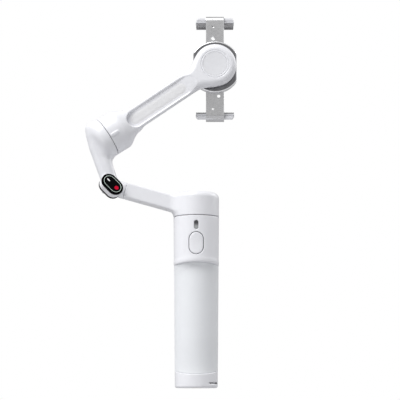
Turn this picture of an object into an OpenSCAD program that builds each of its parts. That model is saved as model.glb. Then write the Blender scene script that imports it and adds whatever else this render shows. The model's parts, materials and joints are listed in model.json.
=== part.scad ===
// Hand-held three-axis gimbal stabilizer for phones, with a spring clamp,
// an elbow that folds flat and a telescoping rod inside the handle.
// Millimetres. Origin: centre of the handle's bottom face. +Z runs up the
// handle, -Y is the side with the trigger, and the phone sits on the +Y side.

/* [Handle] */
// Diameter of the handle at its top seam
handle_top_d = 36; // [35:0.25:37]
// Diameter of the handle at its base
handle_base_d = 33.4; // [33:0.2:35]
// Height of the handle's top seam
handle_h = 133.6; // [132:0.2:135]
// Wall of the handle shells
shell_wall = 1.6; // [1.4:0.1:1.8]
// Corner radius round the base
base_round = 1.6; // [1:0.2:2]
// Top edge of the grip scoop
grip_top_z = 98; // [94:1:99]
// Lower edge of the grip scoop at the sides
grip_low_z = 13.6; // [13:0.2:16]
// How far the front of the grip sits back from the round of the handle
grip_dip = 2; // [1.2:0.2:2.2]
// Thickness of the soft grip inlay
grip_t = 1; // [0.8:0.1:1.1]

/* [Front controls] */
// Width of the trigger's rounded button
trigger_w = 11; // [9:0.5:12]
// Height of the trigger's rounded button
trigger_h = 17; // [15:0.5:18]
// Height of the trigger's centre
trigger_z = 111.8; // [110:0.2:113]
// Height of the indicator window's centre
indicator_z = 126; // [125:0.2:127]

/* [Rod] */
// Travel of each of the three telescoping stages
rod_travel = 72; // [60:1:74]
// Outer radius of the first stage
rod_r = 6.9; // [6.5:0.1:7]
// Wall of each stage
rod_wall = 0.7; // [0.6:0.1:0.8]
// Running gap between one stage and the next
rod_gap = 0.1; // [0.06:0.01:0.1]

/* [Pan motor and lower arm] */
// Height of the domed pan cap above the seam
pan_cap_h = 19.2; // [18:0.2:20]
// Rounding of the pan cap's top edge
pan_cap_round = 5; // [3:0.5:6]
// Rise of the lower arm above the horizontal
arm_rise = 15.7; // [15:0.1:16.5]
// Depth of the lower arm, front to back
arm_depth = 18; // [17:0.5:19]
// Height of the lower arm's section
arm_height = 11.4; // [11:0.2:12]

/* [Tilt motor and upper arm] */
// Outer radius of the tilt motor's housing
tilt_r = 16.3; // [16:0.1:16.6]
// Width of the roll arm
roll_arm_w = 17; // [16:0.5:18]
// Depth of the roll arm, front to back
roll_arm_d = 8.6; // [8:0.2:9]
// Width of the groove along the roll arm
groove_w = 13; // [12:0.5:13.5]
// Length of the groove along the roll arm
groove_l = 61; // [60:1:64]
// Radius of the roll motor's white housing
roll_r = 17; // [16.5:0.1:17.2]

/* [Phone clamp] */
// Radius of the clamp's round base
clamp_r = 21; // [20.6:0.1:21.4]
// Half width of the clamp base between its two flats
clamp_flat = 17.4; // [17:0.1:18]
// Gap between the jaw pads at rest, the phone's width
phone_w = 72.2; // [71.6:0.1:72.6]
// Width of the jaws
jaw_w = 31.6; // [30:0.2:33]
// Width of the sliding brackets
bracket_w = 14.6; // [14:0.2:15]
// Pitch radius of the pinion between the brackets
pinion_r = 3; // [3:3]

/* [Hidden] */
$fn = 72;

seam_gap = 0.5;                     // open seam between pieces that turn
slip = 0.25;                        // clearance round pieces that slide

// Elbow, tilt motor and roll motor centres
elbow = [-66.5, 0, 158];
tilt_c = [-71.4, 0, 198.6];
roll_c = [15, 0, 256.5];
mass_y = 12;                        // the tilt axis passes through the phone here
tilt_v = roll_c + [0, mass_y, 0] - tilt_c;
tilt_lean = acos(tilt_v[2] / norm(tilt_v));
tilt_turn = atan2(tilt_v[1], tilt_v[0]);
arm_start = 11.1;                   // from the elbow's centre to the arm's end

// Tracker: a slanted capsule held on the front of the elbow
tracker_c = [-65.5, -17, 158.3];
tracker_n = [0.365, -0.878, 0.312];
tracker_long = [1, 0.06, -1];
tracker_l = 19.3;
tracker_w = 13.2;

function handle_r(z) =
    (handle_base_d + (handle_top_d - handle_base_d) * z / handle_h) / 2;
function arc(c, r, a0, a1, n = 8) =
    [for (i = [0:n]) c + r * [cos(a0 + (a1 - a0) * i / n), sin(a0 + (a1 - a0) * i / n)]];
function unit(v) = v / norm(v);

// ---------------------------------------------------------------- helpers

// A ring or tube standing on z0
module ring(r_out, r_in, z0, h)
    translate([0, 0, z0])
        difference() {
            cylinder(r = r_out, h = h);
            translate([0, 0, -1]) cylinder(r = r_in, h = h + 2);
        }

// A rod with round ends, lying in the plane of x and y
module capsule_2d(length, width)
    union() {
        square([length - width, width], center = true);
        for (s = [-1, 1]) translate([s * (length - width) / 2, 0]) circle(d = width);
    }

// A rectangle with rounded corners
module rounded_2d(w, h, r)
    union() {
        square([w - 2 * r, h], center = true);
        square([w, h - 2 * r], center = true);
        for (x = [-1, 1], y = [-1, 1])
            translate([x * (w / 2 - r), y * (h / 2 - r)]) circle(r = r);
    }

// The elbow's frame: z runs down the lower arm to the handle, x points down
module at_elbow()
    translate(elbow) rotate([0, 90 + arm_rise, 0]) children();

// The tilt motor's frame: z runs along the tilt axis to the phone
module at_tilt()
    translate(tilt_c) rotate([0, tilt_lean, tilt_turn]) children();

// The roll motor's frame: z runs away from the front, y points down
module at_roll()
    translate(roll_c) rotate([-90, 0, 0]) children();

// The tracker's frame: z out of its face, x along it
module at_tracker() {
    z = unit(tracker_n);
    y = unit(cross(z, tracker_long));
    x = cross(y, z);
    multmatrix([
        [x[0], y[0], z[0], tracker_c[0]],
        [x[1], y[1], z[1], tracker_c[1]],
        [x[2], y[2], z[2], tracker_c[2]],
        [0, 0, 0, 1]
    ]) children();
}

// Frames on the handle's faces: z runs out of the front or of the back
module on_front(z) translate([0, 0, z]) rotate([90, 0, 0]) children();
module on_back(z) translate([0, 0, z]) rotate([-90, 0, 0]) rotate([0, 0, 180]) children();

// ---------------------------------------------------------------- handle

// The handle's outer form, drawn in by inset
module handle_form(inset)
    rotate_extrude()
        polygon(concat(
            [[0, inset]],
            arc([handle_r(0) - base_round, base_round], base_round - min(inset, 0.6), -90, 0),
            [[handle_r(handle_h) - inset, handle_h], [0, handle_h]]
        ));

// The handle's inside, and the same moved back behind the grip
module handle_inside(inset, dy, z0, z1)
    translate([0, dy, z0])
        cylinder(r1 = handle_r(z0) - inset, r2 = handle_r(z1) - inset, h = z1 - z0);

// The space of the grip scoop: level on top, its lower edge dips at the front
module grip_zone(grow)
    difference() {
        translate([-30, -30, grip_low_z - 12])
            cube([60, 30, grip_top_z - grip_low_z + 12 + grow]);
        translate([0, 0, grip_low_z - grow])
            rotate([11, 0, 0])
                translate([-40, -60, -30]) cube([80, 120, 30]);
    }

// The round of the grip: the handle's own round moved back, and leaning in towards the top
module grip_round(inset)
    intersection() {
        handle_inside(inset, grip_dip, 1, grip_top_z + 4);
        translate([0, grip_dip, lean_from])
            rotate([-grip_lean, 0, 0])
                translate([0, 0, -lean_from])
                    handle_inside(inset, 0, -4, grip_top_z + 6);
    }

lean_from = 38;                     // the grip leans in from this height up
grip_lean = 2.1;

module handle_tube()
    difference() {
        handle_form(0);
        // the scoop, down to the floor that carries the inlay
        difference() {
            grip_zone(0);
            grip_round(grip_t);
        }
        // the hollow inside, shallower behind the scoop
        difference() {
            handle_inside(shell_wall, 0, -1, handle_h + 1);
            difference() {
                grip_zone(1.2);
                grip_round(grip_t + 0.8);
            }
        }
    }

module half(side)
    translate([-40, side > 0 ? 0 : -80, -10]) cube([80, 80, 200]);

strap_slot = [13, 3.6, 6, 1.6];     // x, z, width and height of the strap slot
panel_z = 92;
panel_h = 52;
panel_w = 17;
usb_z = 40;

module handle_shell_front()
    color("white")
        difference() {
            intersection() {
                handle_tube();
                half(-1);
            }
            on_front(trigger_z)
                linear_extrude(30)
                    capsule_2d_tall(trigger_h + 1, trigger_w + 1);
            on_front(indicator_z)
                linear_extrude(30)
                    capsule_2d_tall(7.2, 3.4);
            translate([strap_slot[0], -12, strap_slot[1]])
                cube([strap_slot[2], 20, strap_slot[3]], center = true);
        }

module capsule_2d_tall(length, width)
    rotate(90) capsule_2d(length, width);

module handle_shell_back()
    color("white")
        difference() {
            intersection() {
                handle_tube();
                half(1);
            }
            on_back(panel_z)
                linear_extrude(30)
                    rounded_2d(panel_w, panel_h, 8);
            on_back(usb_z)
                linear_extrude(30)
                    capsule_2d(9.4, 3.6);
        }

module grip_inlay()
    color("gainsboro")
        intersection() {
            difference() {
                grip_zone(0);
                grip_round(grip_t);
            }
            grip_round(0);
            handle_form(0);
        }

joy_z = 104;
record_z = 86;
mode_z = 75;

// Curved plate that fills the window in the back shell
module control_panel()
    color("whitesmoke")
        difference() {
            intersection() {
                handle_inside(0.3, 0, panel_z - panel_h, panel_z + panel_h);
                on_back(panel_z)
                    linear_extrude(30)
                        rounded_2d(panel_w - 0.1, panel_h - 0.1, 7.9);
            }
            handle_inside(1.8, 0, panel_z - panel_h - 1, panel_z + panel_h + 1);
            on_back(joy_z) cylinder(r = 5.4, h = 30);
            on_back(record_z) cylinder(r = 4.05, h = 30);
            on_back(mode_z) linear_extrude(30) capsule_2d(8.5, 4.5);
        }

base_plug_h = 7;
insert_r = 4.4;
thread_r = 3.175;                   // quarter-inch tripod thread
thread_l = 8;

module base_cap()
    color("whitesmoke")
        difference() {
            union() {
                cylinder(r = handle_r(0) - shell_wall - 0.1, h = base_plug_h);
                cylinder(r = 7, h = thread_l + 2);
            }
            translate([0, 0, -1]) cylinder(r = insert_r, h = thread_l + 1);
            for (x = [-1, 1], y = [-1, 1])
                translate([x * 7.6, y * 7.6, -1]) {
                    cylinder(r = 1.1, h = 20);
                    cylinder(r = 2, h = 2.4);
                }
            translate([strap_slot[0], -12, strap_slot[1]])
                cube([strap_slot[2], 10, strap_slot[3]], center = true);
        }

module thread_insert()
    color("goldenrod")
        ring(insert_r, thread_r, 0, thread_l);

module handle_screws()
    color("silver")
        for (x = [-1, 1], y = [-1, 1])
            translate([x * 7.6, y * 7.6, 0])
                difference() {
                    union() {
                        translate([0, 0, 0.3]) cylinder(r = 1.1, h = 9);
                        translate([0, 0, 0.3]) cylinder(r = 2, h = 1.1);
                    }
                    translate([0, 0, -0.5]) cylinder(r = 0.9, h = 1.2, $fn = 6);
                }

module battery_cells()
    color("dodgerblue")
        for (s = [-1, 1])
            translate([0, s * 10, 41])
                rotate([90, 0, 0])
                    linear_extrude(3.6, center = true)
                        rounded_2d(11, 50, 1.5);

module main_board()
    color("darkgreen") {
        // the board behind the control panel and its three switches
        translate([0, 10, 92]) cube([17, 1, 46], center = true);
        for (p = [record_z, mode_z])
            on_back(p) translate([0, 0, 10.4]) linear_extrude(2) square(4.4, center = true);
        on_back(joy_z) translate([0, 0, 10.4]) linear_extrude(1.3) square(8, center = true);
        // the trigger's board and switch
        translate([0, -9.2, trigger_z]) cube([13, 1, 24], center = true);
        on_front(trigger_z + 5) translate([0, 0, 9.6]) linear_extrude(1.6) square(4, center = true);
        // ribs that tie both boards round the rod's housing
        for (s = [-1, 1])
            translate([s * 8.4, 0.4, 100.5]) cube([0.9, 20.2, 3], center = true);
        translate([0, -9.2, 100.5]) cube([17.7, 1, 3], center = true);
    }

rod_z0 = 16;

module rod_housing()
    color("dimgray")
        union() {
            ring(rod_r + rod_gap + 0.7, rod_r + rod_gap, 10, 117);
            ring(10.4, rod_r + rod_gap, 10, 1.4);
            ring(13.6, rod_r + rod_gap, 124, 2.6);
        }

module rod_stage(n) {
    r = rod_r - n * (rod_wall + rod_gap);
    ring(r, r - rod_wall, rod_z0 - n, 127 - rod_z0 + n + (n == 2 ? 2.4 : 0));
}
module rod_stage_1() color("silver") rod_stage(0);
module rod_stage_2() color("silver") rod_stage(1);
module rod_stage_3() color("silver") rod_stage(2);

// The port sits in the back shell, with the tongue of its plug
module usb_port()
    color("silver")
        on_back(usb_z)
            translate([0, 0, 13.6])
                difference() {
                    linear_extrude(2.9) capsule_2d(9.2, 3.4);
                    translate([0, 0, 1]) linear_extrude(3)
                        difference() {
                            capsule_2d(8.4, 2.6);
                            square([6.6, 0.7], center = true);
                        }
                }

module indicator_window()
    color("dimgray")
        on_front(indicator_z)
            translate([0, 0, 14.5])
                linear_extrude(3) capsule_2d_tall(7.1, 3.3);

trigger_travel = 1.4;
trigger_face = 18.3;                // how far out the trigger's crown stands

module trigger_button()
    color("white")
        difference() {
            intersection() {
                on_front(trigger_z)
                    translate([0, 0, 13.2])
                        linear_extrude(trigger_face - 13.2)
                            capsule_2d_tall(trigger_h, trigger_w);
                handle_inside(-0.25, 0, trigger_z - 20, trigger_z + 20);
            }
            on_front(trigger_z - 3)
                translate([0, 0, 13]) cylinder(r = 2.4, h = 2.6);
        }

// A coil of round wire about z
module coil(r, wire, turns, height)
    for (i = [0:turns - 1])
        translate([0, 0, wire / 2 + i * (height - wire) / (turns - 1)])
            rotate_extrude() translate([r, 0]) circle(d = wire, $fn = 16);

module trigger_spring()
    color("silver")
        on_front(trigger_z - 3)
            translate([0, 0, 9.8])
                union() {
                    coil(1.8, 0.4, 5, 5.6);
                    for (a = [0, 180]) rotate(a) translate([1.8, 0, 0.2]) cylinder(r = 0.15, h = 5.2);
                }

joy_pivot = 13.4;                   // the joystick's pivot, out from the axis

module joystick_gimbal()
    color("dimgray")
        on_back(joy_z)
            translate([0, 0, joy_pivot])
                difference() {
                    cylinder(r = 3.4, h = 1.2, center = true);
                    cylinder(r = 1.6, h = 3, center = true);
                }

module joystick_cap()
    color("white")
        on_back(joy_z)
            translate([0, 0, joy_pivot])
                union() {
                    translate([0, 0, -0.9]) cylinder(r = 1.3, h = 4.6);
                    translate([0, 0, 3.4])
                        rotate_extrude()
                            polygon(concat(
                                [[0, 0], [3, 0]], arc([3.4, 1.2], 0.9, -60, 60), [[2.6, 1.6], [0, 1.2]]));
                }

module record_button()
    color("tomato")
        on_back(record_z)
            translate([0, 0, 13.3])
                rotate_extrude()
                    polygon(concat([[0, 0], [3.8, 0]], arc([3.2, 4.2], 0.6, 0, 90), [[0, 4.6]]));

module mode_button()
    color("whitesmoke")
        on_back(mode_z)
            translate([0, 0, 13.3])
                linear_extrude(4.6) capsule_2d(8, 4);

// ---------------------------------------------------------------- motors

// Parts of a flat motor about z: r is the rotor's radius, h its skirt's height
module stator(r_out, r_in, z0, h, teeth)
    translate([0, 0, z0])
        linear_extrude(h)
            difference() {
                circle(r = r_out);
                circle(r = r_in);
                for (i = [0:teeth - 1])
                    rotate((i + 0.5) * 360 / teeth)
                        polygon([
                            [r_in + 2.2, -0.8], [r_out - 1.3, -2.2], [r_out - 0.9, -0.7],
                            [r_out + 1, -0.7], [r_out + 1, 0.7], [r_out - 0.9, 0.7],
                            [r_out - 1.3, 2.2], [r_in + 2.2, 0.8]]);
            }

module rotor(r_out, z0, h, plate, shaft_r, shaft_z, shaft_h) {
    // a skirt that carries the magnets, a plate across it, and the shaft
    ring(r_out, r_out - 1.4, z0, h);
    translate([0, 0, plate > 0 ? z0 + h - 1 : z0]) cylinder(r = r_out - 0.5, h = 1);
    translate([0, 0, shaft_z]) cylinder(r = shaft_r, h = shaft_h);
}

shaft_r = 2.5;
fit = 0.05;                         // radial running fit

// ---------------------------------------------------------------- pan motor

pan_z = handle_h + seam_gap;
pan_top = pan_z + pan_cap_h;

module pan_motor_base()
    color("dimgray")
        union() {
            ring(15.9, 4, 129.6, 3.6);
            ring(7, 5, 132, 10);
        }

module pan_stator()
    color("peru")
        stator(12.6, 7, 135.6, 6.4, 9);

module pan_bearing()
    color("silver")
        ring(5, shaft_r + fit, 136, 4);

module pan_rotor()
    color("gray")
        rotor(14.6, 135, 9.4, 1, shaft_r, 134.6, 10);

// The lower arm's bar, in the elbow's frame
module arm_bar(z0, z1, w, h, r)
    translate([0, 0, z0])
        linear_extrude(z1 - z0)
            rounded_2d(h, w, r);

module pan_dome(r, z0, z1, round_r)
    rotate_extrude()
        polygon(concat(
            [[0, z0], [r, z0]],
            arc([r - round_r, z1 - round_r], round_r, 0, 90, 10),
            [[0, z1]]));

module pan_arm()
    color("white")
        difference() {
            union() {
                pan_dome(handle_top_d / 2, pan_z, pan_top, pan_cap_round);
                at_elbow() arm_bar(arm_start, 58, arm_depth, arm_height, 2.4);
            }
            pan_dome(handle_top_d / 2 - 1.8, pan_z - 1, pan_top - 2, 3.4);
            // the bushing's seat and the space under the cover
            at_elbow() {
                translate([0, 0, arm_start - 1]) cylinder(r = 4, h = 10.2);
                translate([-2.8, -6.8, 24]) cube([12, 13.6, 22]);
            }
        }

module pan_arm_cover()
    color("lightgray")
        at_elbow()
            translate([arm_height / 2 - 1.4, -6.7, 24.1]) cube([1.2, 13.4, 21.8]);

// ---------------------------------------------------------------- elbow

module fold_bushing()
    color("darkkhaki")
        at_elbow()
            difference() {
                translate([0, 0, arm_start]) cylinder(r = 4, h = 9);
                translate([0, 0, arm_start - 1]) cylinder(r = shaft_r + fit, h = 12);
            }

module fold_pin()
    color("silver")
        at_elbow()
            union() {
                translate([0, 0, -5]) cylinder(r = shaft_r, h = arm_start + 13);
                translate([0, 0, -6.5]) cylinder(r = 3.6, h = 1.5);
            }

// Thin slices of the upper arm, from the elbow up to the tilt motor
module arm_slice(x, z, w, d, lean)
    translate([x, 0, z])
        rotate([0, lean, 0])
            linear_extrude(0.4, center = true)
                rounded_2d(w, d, 5, $fn = 32);

// The fixed half of the tilt housing: a cup with a rounded bottom
module tilt_cup(r, depth, round_r)
    rotate_extrude()
        polygon(concat(
            [[0, -depth]],
            arc([r - round_r, -depth + round_r], round_r, -90, 0, 10),
            [[r, -seam_gap / 2], [0, -seam_gap / 2]]));

module fold_arm_form()
    union() {
        at_elbow() arm_bar(-7.5, arm_start - seam_gap, 17.6, 12.6, 4);
        hull() {
            at_elbow() arm_bar(-8.4, 9, 17.4, 12, 4);
            arm_slice(-70.4, 167, 13.8, 18, -18);
        }
        hull() {
            arm_slice(-70.4, 167, 13.8, 18, -18);
            arm_slice(-74.8, 180.5, 14.6, 19, -18);
        }
        hull() {
            arm_slice(-74.8, 180.5, 14.6, 19, -18);
            at_tilt() translate([0, 0, -12.6]) cylinder(r = 11.6, h = 2, $fn = 48);
            at_tilt() translate([0, 0, -7.6]) cylinder(r = 15.2, h = 3, $fn = 48);
        }
        at_tilt() tilt_cup(tilt_r, 9, 4);
    }

module fold_arm()
    color("white")
        difference() {
            fold_arm_form();
            at_tilt() translate([0, 0, -8.6]) cylinder(r = 14.2, h = 10);
            at_elbow() translate([0, 0, -5]) cylinder(r = shaft_r, h = 30);
            at_elbow() translate([0, 0, -20]) cylinder(r = 3.6, h = 15);
            at_tracker() translate([0, 0, -tracker_t]) linear_extrude(20) capsule_2d(tracker_l, tracker_w);
            // the cover's seat on the back of the arm
            fold_cover_space(0.1, 6.4);
        }

// A slot along the back of the upper arm
module fold_cover_space(grow, y0)
    translate([-75.2, y0, 178.5])
        rotate([0, -18, 0])
            rotate([-90, 0, 0])
                linear_extrude(20)
                    capsule_2d_tall(16 + grow, 7.5 + grow);

module fold_arm_cover()
    color("whitesmoke")
        intersection() {
            fold_cover_space(0, 7.6);
            translate([-100, 7.6, 150]) cube([60, 1.5, 60]);
        }

module tilt_stator()
    color("peru")
        at_tilt() stator(12.2, 5, -7.4, 6, 9);

module tilt_bearing()
    color("silver")
        at_tilt() ring(5, shaft_r + fit, -8.6, 4);

module tilt_rotor()
    color("gray")
        at_tilt() rotor(13.9, -7, 8.6, 1, shaft_r, -8, 12);

// ---------------------------------------------------------------- roll arm

// The centre line of the roll arm, from the tilt motor to the roll motor
arm_p0 = [-56, -2.5, 208.8];
arm_p1 = [-1, -5.2, 245.7];
arm_slope = atan2(arm_p1[2] - arm_p0[2], arm_p1[0] - arm_p0[0]);
roll_front = -9.4;                  // front of the roll motor's white dome
roll_back = -0.9;
roll_floor = -7.2;                  // bottom of the motor's pocket, behind the dome
roll_seat = -8.2;                   // the seat of the round cap in the dome's front
cap_r = 11.2;

// An upright slice across the roll arm at a point of its centre line
module roll_slice(p, w, d)
    translate(p)
        rotate([0, 90 - arm_slope, 0])
            linear_extrude(0.4, center = true)
                rounded_2d(w, d, 3.2, $fn = 32);

function arm_at(t) = arm_p0 + (arm_p1 - arm_p0) * t;

module roll_disc(r, y0, y1)
    translate(roll_c + [0, y0, 0]) rotate([-90, 0, 0]) cylinder(r = r, h = y1 - y0, $fn = 48);

module roll_arm_form()
    union() {
        // the turning half of the tilt housing
        at_tilt()
            rotate_extrude()
                polygon(concat(
                    [[0, seam_gap / 2], [tilt_r, seam_gap / 2]],
                    arc([tilt_r - 5, 9.5], 5, 0, 90, 10),
                    [[0, 14.5]]));
        // its shoulder, which narrows into the arm
        hull() {
            at_tilt() translate([0, 0, 8]) cylinder(r = 15.6, h = 2, $fn = 48);
            at_tilt() translate([-1, -2, 16]) cylinder(r = 10.6, h = 0.8, $fn = 48);
            roll_slice(arm_at(0.12), roll_arm_w - 0.6, roll_arm_d - 0.6);
        }
        // the straight arm
        hull() {
            roll_slice(arm_at(0), roll_arm_w, roll_arm_d);
            roll_slice(arm_at(0.86), roll_arm_w, roll_arm_d);
        }
        // its end, which widens into the roll motor's housing
        hull() {
            roll_slice(arm_at(0.68), roll_arm_w - 0.6, roll_arm_d - 0.6);
            roll_disc(15.6, roll_front + 1.4, roll_back - 0.3);
        }
        // the roll motor's housing, with a rounded front edge
        at_roll()
            rotate_extrude()
                polygon(concat(
                    [[0, roll_back], [roll_r, roll_back]],
                    arc([roll_r - 4.4, roll_front + 4.4], 4.4, 0, -90, 12),
                    [[0, roll_front]]));
    }

module roll_disc_exact(r, y0, y1)
    translate(roll_c + [0, y0, 0]) rotate([-90, 0, 0]) cylinder(r = r, h = y1 - y0);

// The groove along the front of the arm, from depth y0 towards the front
module groove_space(grow, back)
    translate(arm_at(0.5))
        rotate([0, -arm_slope, 0])
            rotate([0, 0, atan2(arm_p1[1] - arm_p0[1], norm(arm_p1 - arm_p0))])
                translate([-0.8, back, -0.8])
                    rotate([90, 0, 0])
                        linear_extrude(20)
                            capsule_2d(groove_l + grow, groove_w + grow);

module roll_arm()
    color("white")
        difference() {
            roll_arm_form();
            at_tilt() translate([0, 0, -5]) cylinder(r = 14.4, h = 7.8);
            at_tilt() translate([0, 0, -5]) cylinder(r = 3, h = 11);
            // the roll motor's pocket, the seat of its cap and the hole for its wires
            roll_disc_exact(14.8, roll_floor, roll_back + 1);
            roll_disc_exact(cap_r + 0.05, roll_front - 5, roll_seat);
            roll_disc_exact(8, roll_front, roll_floor + 1);
            groove_space(0, -3.3);
            // the wiring channel under the back cover
            roll_cover_space(0.1, -1.6);
        }

module roll_arm_inlay()
    color("gainsboro")
        difference() {
            intersection() {
                groove_space(-0.1, -3.3);
                translate([0, 0.4, 0]) roll_inlay_limit();
            }
            roll_disc_exact(roll_r + 0.1, roll_front - 5, roll_back + 2);
        }

// What the inlay may fill: the groove's first half millimetre
module roll_inlay_limit()
    difference() {
        groove_space(-0.2, -3.4);
        groove_space(4, -4.5);
    }

module roll_cover_space(grow, y0)
    translate(arm_at(0.46))
        rotate([0, -arm_slope, 0])
            translate([0, y0 + 4, 0])
                rotate([-90, 0, 0])
                    linear_extrude(20)
                        capsule_2d(44 + grow, 8 + grow);

module roll_arm_cover()
    color("whitesmoke")
        intersection() {
            roll_cover_space(0, -1.6);
            translate([-60, -2.6, 200]) cube([80, 2.1, 60]);
        }

module roll_cap()
    color("white")
        difference() {
            roll_disc_exact(cap_r, roll_front + 0.1, roll_seat);
            roll_disc_exact(10.4, roll_front - 1, roll_front + 0.5);
        }

module roll_cap_disc()
    color("gainsboro")
        roll_disc_exact(10.35, roll_front, roll_front + 0.5);

module roll_stator()
    color("peru")
        at_roll() stator(12.4, 5, -7.2, 4.4, 9);

module roll_bearing()
    color("silver")
        at_roll() ring(5, shaft_r + fit, -7.2, 3.4);

module roll_rotor()
    color("gray")
        at_roll() rotor(14.2, -6.8, 7.2, 1, shaft_r, -7, 7.4);

// ---------------------------------------------------------------- clamp

plate_y = [3.6, 4.8];               // the sliding brackets' front and back
clamp_y = [0.4, 6.2];
half_gap = phone_w / 2;

module double_d(r, flat)
    intersection() {
        circle(r = r);
        square([2 * flat, 3 * r], center = true);
    }

module clamp_base()
    color("dimgray")
        at_roll()
            difference() {
                union() {
                    translate([0, 0, clamp_y[0] + 0.6])
                        linear_extrude(clamp_y[1] - clamp_y[0] - 0.6) double_d(clamp_r, clamp_flat);
                    translate([0, 0, clamp_y[0]])
                        linear_extrude(0.7) double_d(clamp_r - 0.7, clamp_flat - 0.7);
                }
                // the channel for both brackets
                difference() {
                    translate([-bracket_w / 2 - slip, -40, plate_y[0] - slip])
                        cube([bracket_w + 2 * slip, 80, plate_y[1] - plate_y[0] + 2 * slip]);
                    cylinder(r = 0.95, h = 10);
                }
                // the pocket of the spiral spring, round the pinion's post
                ring(7, 0.95, 1.6, 2.4);
            }

module clamp_back_pad()
    color("gray")
        at_roll()
            translate([0, 0, clamp_y[1]])
                linear_extrude(0.9) double_d(clamp_r - 3, clamp_flat - 2.4);

// Pinion: involute flanks on few teeth, so the racks have short tips
pressure = 25;
teeth = 10;
modul = 2 * pinion_r / teeth;
tip_r = pinion_r + 0.5;
root_r = pinion_r - 0.62;
base_r = pinion_r * cos(pressure);
play = 0.05;                        // half the backlash on each flank

function inv(a) = tan(a) * 180 / PI - a;
function flank_angle(r) =
    90 / teeth - play / pinion_r * 180 / PI + inv(pressure)
    - (r <= base_r ? 0 : inv(acos(base_r / r)));
function polar(r, a) = r * [cos(a), sin(a)];
flank_r = [for (i = [0:4]) max(base_r, root_r) + (tip_r - max(base_r, root_r)) * i / 4];

// The root circle and each tooth stand with a tooth on the x axis
module pinion_2d()
    union() {
        circle(r = root_r);
        for (t = [0:teeth - 1])
            rotate(t * 360 / teeth)
                polygon(concat(
                    [polar(root_r - 0.4, -flank_angle(base_r))],
                    [for (r = flank_r) polar(r, -flank_angle(r))],
                    [for (i = [4:-1:0]) polar(flank_r[i], flank_angle(flank_r[i]))],
                    [polar(root_r - 0.4, flank_angle(base_r))]));
    }

module clamp_pinion()
    color("goldenrod")
        at_roll()
            translate([0, 0, plate_y[0] + 0.02])
                difference() {
                    linear_extrude(plate_y[1] - plate_y[0] - 0.04) pinion_2d();
                    translate([0, 0, -1]) cylinder(r = 1, h = 5);
                }

// Flat spiral spring behind the pinion, with the pinion's post in its middle
spiral_turns = 4;
function spiral(r0, r1, n, w) = concat(
    [for (i = [0:n]) polar(r0 + (r1 - r0) * i / n, 360 * spiral_turns * i / n)],
    [for (i = [n:-1:0]) polar(r0 + (r1 - r0) * i / n + w, 360 * spiral_turns * i / n)]);

module clamp_spring()
    color("silver")
        at_roll()
            translate([0, 0, 1.8]) linear_extrude(1.3) polygon(spiral(1.4, 6.3, 96, 0.3));

rack_tip = 0.42;
rack_root = 0.62;
rack_teeth = 13;

// A rack along y on the left of the pinion, its teeth pointing to +x
module rack_2d(y0, y1)
    difference() {
        translate([-bracket_w / 2, y0]) square([bracket_w / 2 - pinion_r + rack_tip, y1 - y0]);
        for (i = [-rack_teeth:rack_teeth])
            let (c = i * PI * modul,
                 w = PI * modul / 4 + play,
                 k = tan(pressure))
            translate([-pinion_r, c])
                polygon([
                    [-rack_root, -(w - rack_root * k)], [rack_tip + 0.1, -(w + (rack_tip + 0.1) * k)],
                    [rack_tip + 0.1, w + (rack_tip + 0.1) * k], [-rack_root, w - rack_root * k]]);
    }

flange_top = half_gap + 7.1;
full_from = 17;                     // the bracket is full width outside this

// One bracket in the roll frame, pointing to -y, its rack on the left
module bracket(hole_x, hole_y, small_x)
    difference() {
        union() {
            translate([0, 0, plate_y[0]])
                linear_extrude(plate_y[1] - plate_y[0]) {
                    rack_2d(-full_from - 0.1, 8);
                    translate([-bracket_w / 2, -flange_top]) square([bracket_w, flange_top - full_from]);
                }
            translate([-bracket_w / 2, -flange_top, plate_y[0]]) cube([bracket_w, 1.3, 8]);
        }
        translate([hole_x, hole_y, -1]) cylinder(r = 1.3, h = 10);
        translate([small_x, -34, -1]) cylinder(r = 0.8, h = 10);
    }

// The jaw's outline, from the pad's seat out to a height above the phone's edge
module jaw_2d(height)
    polygon([
        [-jaw_w / 2 + height * 0.38, -half_gap - 1.6 - height],
        [jaw_w / 2 - height * 0.38, -half_gap - 1.6 - height],
        [jaw_w / 2, -half_gap - 1.6], [-jaw_w / 2, -half_gap - 1.6]]);

module jaw()
    translate([0, 0, 6.2])
        hull() {
            linear_extrude(4.2) jaw_2d(4.2);
            linear_extrude(10.2) jaw_2d(1.6);
        }

module jaw_pad()
    union() {
        translate([-jaw_w / 2 + 0.6, -half_gap - 1.6, 7.2]) cube([jaw_w - 1.2, 1.6, 9]);
        translate([-jaw_w / 2 + 0.6, -half_gap - 1.6, 15.6]) cube([jaw_w - 1.2, 3, 1.2]);
    }

module upper_bracket() color("darkgray") at_roll() bracket(-1.8, -24.3, -1.8);
module lower_bracket() color("darkgray") at_roll() rotate(180) bracket(-3, -23.5, 1.8);
module upper_jaw() color("lightgray") at_roll() jaw();
module lower_jaw() color("lightgray") at_roll() rotate(180) jaw();
module upper_jaw_pad() color("silver") at_roll() jaw_pad();
module lower_jaw_pad() color("silver") at_roll() rotate(180) jaw_pad();

// ---------------------------------------------------------------- tracker

tracker_t = 9;

module tracker_base()
    color("black")
        at_tracker()
            translate([0, 0, -tracker_t])
                linear_extrude(1.5) capsule_2d(tracker_l - 0.4, tracker_w - 0.4);

// Ribbed side wall: thin discs between thicker ones
module tracker_body()
    color("silver")
        at_tracker()
            union() {
                translate([0, 0, -tracker_t + 1.5])
                    linear_extrude(tracker_t - 3.5) capsule_2d(tracker_l - 1.2, tracker_w - 1.2);
                for (i = [0:3])
                    translate([0, 0, -tracker_t + 1.8 + 1.3 * i])
                        linear_extrude(0.7) capsule_2d(tracker_l - 0.5, tracker_w - 0.5);
            }

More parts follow.
